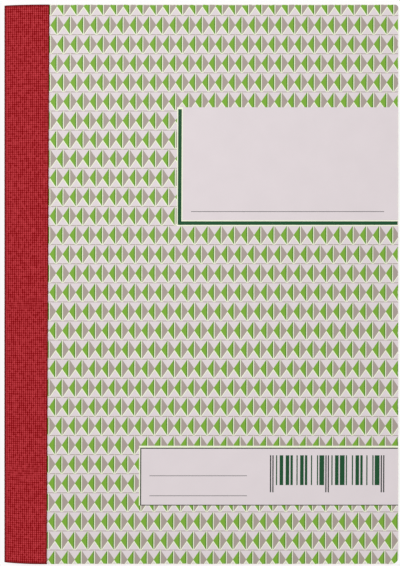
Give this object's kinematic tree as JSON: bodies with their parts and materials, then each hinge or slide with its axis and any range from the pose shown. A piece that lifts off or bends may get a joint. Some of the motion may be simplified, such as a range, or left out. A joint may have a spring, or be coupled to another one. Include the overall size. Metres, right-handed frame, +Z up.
{
  "type": "carbonless duplicate book",
  "caption": "Side-stitched carbonless copy book with multi-part leaf sets, printed card front, grey board back, loose writing shield and woven cloth spine tape.",
  "frame": {"origin": "under the middle of the closed book, on the surface that its back cover lies on", "axes": "+X from the spine to the fore edge, +Y from the foot to the head, +Z up out of the front cover"},
  "size_m": [0.148, 0.21, 0.0128],
  "materials": {
    "printed_card": "coated card, printed with a small repeat in green, grey and pale lilac",
    "grey_board": "uncoated grey board",
    "plain_card": "uncoated manila card",
    "red_book_cloth": "plain-woven book cloth, dull",
    "staple_wire": "bright drawn wire",
    "white_paper": "uncoated white leaf with a fine squared ruling",
    "yellow_paper": "uncoated yellow leaf with a fine squared ruling",
    "pink_paper": "uncoated pink leaf with a fine squared ruling",
    "layered_paper": "white, yellow and pink leaves pressed together"
  },
  "bodies": {
    "bound_block": {"spine_tape": "red_book_cloth", "head_staple": "staple_wire", "foot_staple": "staple_wire", "front_cover_bound_strip": "printed_card", "set_01_bound_strip": "layered_paper", "set_02": "layered_paper", "set_03": "layered_paper", "set_04": "layered_paper", "set_05": "layered_paper", "set_06": "layered_paper", "set_07": "layered_paper", "set_08": "layered_paper", "set_09": "layered_paper", "set_10": "layered_paper", "set_11": "layered_paper", "set_12": "layered_paper", "set_13": "layered_paper", "set_14": "layered_paper", "set_15": "layered_paper", "set_16": "layered_paper", "set_17": "layered_paper", "set_18": "layered_paper", "set_19": "layered_paper", "set_20": "layered_paper", "set_21": "layered_paper", "set_22": "layered_paper", "set_23": "layered_paper", "set_24": "layered_paper", "set_25": "layered_paper", "set_26": "layered_paper", "set_27": "layered_paper", "set_28": "layered_paper", "set_29": "layered_paper", "set_30": "layered_paper", "set_31": "layered_paper", "set_32": "layered_paper", "set_33": "layered_paper", "set_34": "layered_paper", "set_35": "layered_paper", "set_36": "layered_paper", "set_37": "layered_paper", "set_38": "layered_paper", "set_39": "layered_paper", "set_40": "layered_paper", "set_41": "layered_paper", "set_42": "layered_paper", "set_43": "layered_paper", "set_44": "layered_paper", "set_45": "layered_paper", "set_46": "layered_paper", "set_47": "layered_paper", "set_48": "layered_paper", "lowest_sets": "layered_paper", "back_cover_bound_strip": "grey_board"},
    "front_cover": {"front_cover": "printed_card"},
    "white_leaf": {"set_01_white_leaf": "white_paper"},
    "yellow_leaf": {"set_01_yellow_leaf": "yellow_paper"},
    "pink_leaf": {"set_01_pink_leaf": "pink_paper"},
    "writing_shield": {"writing_shield": "plain_card"},
    "back_cover": {"back_cover": "grey_board"}
  },
  "joints": [
    {"name": "front_cover_hinge", "type": "hinge", "parent": "bound_block", "child": "front_cover", "pos_m": [-0.05745, 0, 0.01287], "axis": [0, -1, 0], "range_deg": [0, 178]},
    {"name": "white_leaf_turn", "type": "hinge", "parent": "bound_block", "child": "white_leaf", "pos_m": [-0.05745, 0, 0.01287], "axis": [0, -1, 0], "range_deg": [0, 168]},
    {"name": "yellow_leaf_turn", "type": "hinge", "parent": "bound_block", "child": "yellow_leaf", "pos_m": [-0.05745, 0, 0.01287], "axis": [0, -1, 0], "range_deg": [0, 161]},
    {"name": "pink_leaf_turn", "type": "hinge", "parent": "bound_block", "child": "pink_leaf", "pos_m": [-0.05745, 0, 0.01287], "axis": [0, -1, 0], "range_deg": [0, 154]},
    {"name": "shield_slide", "type": "slide", "parent": "bound_block", "child": "writing_shield", "axis": [1, 0, 0], "range_m": [0, 0.13]},
    {"name": "back_cover_hinge", "type": "hinge", "parent": "bound_block", "child": "back_cover", "pos_m": [-0.05745, 0, -0.0001], "axis": [0, 1, 0], "range_deg": [0, 178]}
  ],
  "couplings": [
    {"joint": "white_leaf_turn", "follows": "front_cover_hinge", "ratio": 0.94},
    {"joint": "yellow_leaf_turn", "follows": "front_cover_hinge", "ratio": 0.9},
    {"joint": "pink_leaf_turn", "follows": "front_cover_hinge", "ratio": 0.86}
  ]
}
